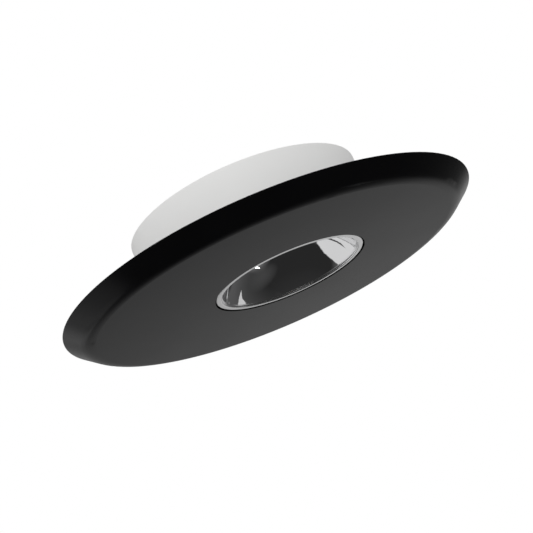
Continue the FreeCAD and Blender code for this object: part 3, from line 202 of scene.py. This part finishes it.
# What gloss and metal mirror: brightness of the room from its -X wall round to its +X wall.
ROOM = ((0.0, 0.30), (0.3, 0.32), (0.4, 0.34), (0.5, 0.47), (0.6, 0.54), (0.68, 0.55), (0.76, 0.10), (1.0, 0.08))
GROUND = 0.022
GROUND_TILT = 0.35          # the ground reaches higher towards -Y
WALL_FOOT = (-0.6, -0.9)    # height where the ground starts to lighten, on the -X and the +X side
FOOT_TURN = (-0.2, 0.4)     # between these values of X
WALL_HEIGHT = -0.1          # height where the walls have their full brightness
FRONT_WALL = 0.03
FRONT_TURN = (-0.8, -0.3)   # the front wall's edge, as values of Y
# A bright patch that only gloss sees: a painted softbox reflection, which lights nothing.
PAINTED_SOFTBOX_REFLECTION = {"towards": (-0.821, 0.469, -0.325), "edge": 0.878, "level": 0.72}
EDGE_BLUR = 0.004
WAVE_SIZE, WAVE_DEPTH = 0.25, 0.03      # of the painted softbox reflection's uneven edge
# A faint bright patch that only gloss sees: a painted glow in reflections, which lights nothing.
PAINTED_GLOW = {"towards": (0.50, 0.08, -0.862), "edge": 0.93, "level": 0.06}


def make_world():
    """White behind the object, plain light on it, and for gloss a room with dim walls and a dark ground, with a
    painted softbox reflection and a faint painted glow.
    """
    world = bpy.data.worlds.new("studio")
    scene.world = world
    world.use_nodes = True
    graph = Graph(world.node_tree)
    direction = graph.add("ShaderNodeTexCoord").outputs["Generated"]
    split = graph.add("ShaderNodeSeparateXYZ", {"Vector": direction})
    x, y, z = split.outputs
    walls = graph.add("ShaderNodeValToRGB", {"Fac": graph.spread(x, 0.0, 1.0, -1.0, 1.0)})
    ramp = walls.color_ramp.elements
    ramp[0].position, ramp[0].color = ROOM[0][0], grey(ROOM[0][1])
    ramp[1].position, ramp[1].color = ROOM[-1][0], grey(ROOM[-1][1])
    for place, level in ROOM[1:-1]:
        ramp.new(place).color = grey(level)
    height = graph.math("MULTIPLY_ADD", y, GROUND_TILT, z)
    foot = graph.spread(x, *WALL_FOOT, *FOOT_TURN)
    room = graph.mix(graph.spread(height, 0.0, 1.0, foot, WALL_HEIGHT), grey(GROUND), walls.outputs["Color"])
    room = graph.mix(graph.spread(y, 1.0, 0.0, *FRONT_TURN), room, grey(FRONT_WALL))
    # Painted glow: a faint bright patch mixed into what gloss mirrors.
    lens_haze_and_painted_glow = graph.spread(graph.facing(direction, PAINTED_GLOW["towards"]), 0.0, 1.0, PAINTED_GLOW["edge"], 1.0)
    room = graph.mix(lens_haze_and_painted_glow, room, grey(PAINTED_GLOW["level"]))
    # Painted softbox reflection: a bright patch with a wavy edge, mixed into what gloss mirrors.
    waves = graph.math("MULTIPLY_ADD", graph.noise(direction, WAVE_SIZE, 1.0), WAVE_DEPTH,
                       graph.facing(direction, PAINTED_SOFTBOX_REFLECTION["towards"]))
    edge = PAINTED_SOFTBOX_REFLECTION["edge"] + WAVE_DEPTH / 2
    inside = graph.spread(waves, 0.0, 1.0, edge - EDGE_BLUR, edge + EDGE_BLUR)
    mirrored = graph.mix(inside, room, grey(PAINTED_SOFTBOX_REFLECTION["level"]))
    ray = graph.add("ShaderNodeLightPath")
    level = graph.mix(ray.outputs["Is Glossy Ray"], grey(PLAIN_LIGHT), mirrored)
    seen = graph.math("MAXIMUM", ray.outputs["Is Camera Ray"], ray.outputs["Is Transmission Ray"])
    background = world.node_tree.nodes["Background"]
    graph.put(background.inputs["Color"], graph.mix(seen, level, grey(1.0)))
    background.inputs["Strength"].default_value = 1.0


# Small glowing cards that only gloss and metal see: painted glints and reflections that light nothing. Level, then
# corners as azimuth from +Y and elevation.
PAINTED_REFLECTION_CARDS = {
    "painted_strip_reflection": (0.62, (60, -31), (70, -26), (82, -23), (90, -14), (62, -12), (64, -20), (62.5, -25)),
    "painted_edge_reflection": (0.25, (41, -8), (41.5, -3), (37, -3), (38, -7)),
    "painted_glint_card": (6.0, (40.5, -51.5), (42.5, -52), (43.5, -54), (50, -59), (43, -56), (40.5, -54)),
    "painted_faint_reflection": (0.07, (-36, -33), (-36, -26), (-42, -20.5), (-50, -18), (-43, -24.5)),
}
CARD_DISTANCE = 3.0
CARD_STEP = 0.1


def make_cards():
    # Each card glows only for glossy rays: a painted reflection, with no light on the object.
    for rank, (name, (level, *corners)) in enumerate(PAINTED_REFLECTION_CARDS.items()):
        points = []
        for azimuth, elevation in corners:
            turn, rise = math.radians(azimuth), math.radians(elevation)
            towards = Vector((math.sin(turn) * math.cos(rise), math.cos(turn) * math.cos(rise), math.sin(rise)))
            points.append(towards * (CARD_DISTANCE + CARD_STEP * rank))
        material = bpy.data.materials.new(name)
        material.use_nodes = True
        graph = Graph(material.node_tree)
        graph.tree.nodes.remove(graph.tree.nodes["Principled BSDF"])
        glow = graph.add("ShaderNodeEmission", {"Color": grey(1.0), "Strength": level})
        graph.put(graph.tree.nodes["Material Output"].inputs["Surface"], glow.outputs[0])
        card = add_mesh(name, points, material)
        card.visible_camera = card.visible_diffuse = card.visible_shadow = card.visible_transmission = False


def make_lamp():
    """One large lamp in front of the object and above it."""
    place, aim = Vector((-0.15, -1.3, 0.45)), Vector((0.0, 0.0, -0.02))
    data = bpy.data.lights.new("front_lamp", "AREA")
    data.shape = "DISK"
    data.size = 1.6
    data.energy = 5.5
    lamp = bpy.data.objects.new("front_lamp", data)
    lamp.location = place
    lamp.rotation_mode = "QUATERNION"
    lamp.rotation_quaternion = (aim - place).to_track_quat("-Z", "Y")
    lamp.visible_camera = False
    scene.collection.objects.link(lamp)


# ---------------------------------------------------------------- camera

# Fitted to the photograph: aim at the dish's rim, from below and in front, rolled to the left.
RIM_DROP = 32.8 * MM
CAMERA_BACK = (0.0, -0.9598, -0.2806)
ROLL_COS, ROLL_SIN = 0.9164, 0.4001
CAMERA_DISTANCE = 0.4626
PAN_X, PAN_Y = 0.0042, 0.0025
SENSOR_WIDTH, FOCAL_LENGTH = 36.0, 67.24


def make_camera():
    target = Vector((0.0, 0.0, -RIM_DROP))
    back = Vector(CAMERA_BACK).normalized()
    right = Vector((1.0, 0.0, 0.0))
    image_x = ROLL_COS * right - ROLL_SIN * back.cross(right)
    place = target + CAMERA_DISTANCE * back
    aim = target - CAMERA_DISTANCE * PAN_X * image_x + CAMERA_DISTANCE * PAN_Y * back.cross(image_x)
    axis_z = (place - aim).normalized()
    axis_x = (image_x - image_x.dot(axis_z) * axis_z).normalized()
    axis_y = axis_z.cross(axis_x)
    data = bpy.data.cameras.new("camera")
    data.sensor_width = SENSOR_WIDTH
    data.lens = FOCAL_LENGTH
    data.clip_start, data.clip_end = 0.01, 50.0
    camera = bpy.data.objects.new("camera", data)
    turn = Matrix((axis_x, axis_y, axis_z)).transposed()
    camera.matrix_world = Matrix.Translation(place) @ turn.to_4x4()
    scene.collection.objects.link(camera)
    scene.camera = camera


make_floor()
make_world()
make_cards()
make_lamp()
make_camera()
scene.view_settings.view_transform = "Standard"
